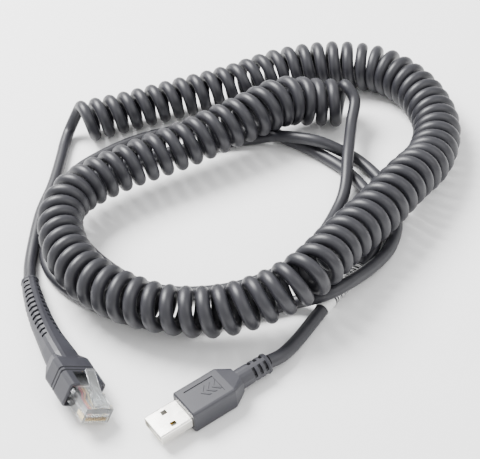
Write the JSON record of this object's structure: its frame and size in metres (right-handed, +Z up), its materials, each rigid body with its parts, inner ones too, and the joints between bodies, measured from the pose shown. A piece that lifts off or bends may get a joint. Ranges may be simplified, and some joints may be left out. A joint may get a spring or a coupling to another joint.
{
  "type": "coiled interface cable",
  "caption": "Coiled interface cable for a handheld scanner: USB type A plug, looped lead, long coil, and a ten-way modular plug in a slotted boot.",
  "frame": {"origin": "on the table, under the middle of the whole cable's bounding box", "axes": "+Z up; the cable lies on the XY plane, with both plugs at the -Y side and the far strand of the coil at +Y; X runs across"},
  "size_m": [0.1999, 0.2297, 0.0322],
  "materials": {
    "jacket": "satin flexible PVC jacket",
    "moulded_rubber": "satin moulded PVC",
    "clear_plastic": "clear polycarbonate",
    "gold_contact": "gold-plated contact",
    "plated_shell": "bright nickel plate",
    "white_plastic": "moulded",
    "label_film": null,
    "wire_red": "insulation",
    "wire_orange": "insulation",
    "wire_cream": "insulation",
    "wire_white": "insulation",
    "wire_green": "insulation",
    "wire_black": "insulation"
  },
  "bodies": {
    "cable": {"usb_shell": "plated_shell", "usb_insulator": "white_plastic", "usb_contact_1": "gold_contact", "usb_contact_2": "gold_contact", "usb_contact_3": "gold_contact", "usb_contact_4": "gold_contact", "usb_inner_mould": "white_plastic", "usb_wire_1": "wire_red", "usb_wire_2": "wire_white", "usb_wire_3": "wire_green", "usb_wire_4": "wire_black", "usb_cable_end": "jacket", "usb_overmould": "moulded_rubber", "lead_usb": "jacket", "cable_label": "label_film", "cable_coil": "jacket", "lead_modular": "jacket", "modular_cable_end": "jacket", "modular_boot": "moulded_rubber", "modular_body": "clear_plastic", "modular_contact_01": "gold_contact", "modular_contact_02": "gold_contact", "modular_contact_03": "gold_contact", "modular_contact_04": "gold_contact", "modular_contact_05": "gold_contact", "modular_contact_06": "gold_contact", "modular_contact_07": "gold_contact", "modular_contact_08": "gold_contact", "modular_contact_09": "gold_contact", "modular_contact_10": "gold_contact", "modular_wire_red": "wire_red", "modular_wire_orange": "wire_orange", "modular_wire_cream": "wire_cream", "modular_wire_white": "wire_white"},
    "latch": {"modular_latch": "clear_plastic"}
  },
  "joints": [
    {"name": "latch_press", "type": "hinge", "parent": "cable", "child": "latch", "pos_m": [-0.06322, -0.10022, 0.01033], "axis": [-0.7387, -0.3764, 0.5592], "range_deg": [0, 14], "stiffness_Nm_per_rad": 0.05}
  ]
}
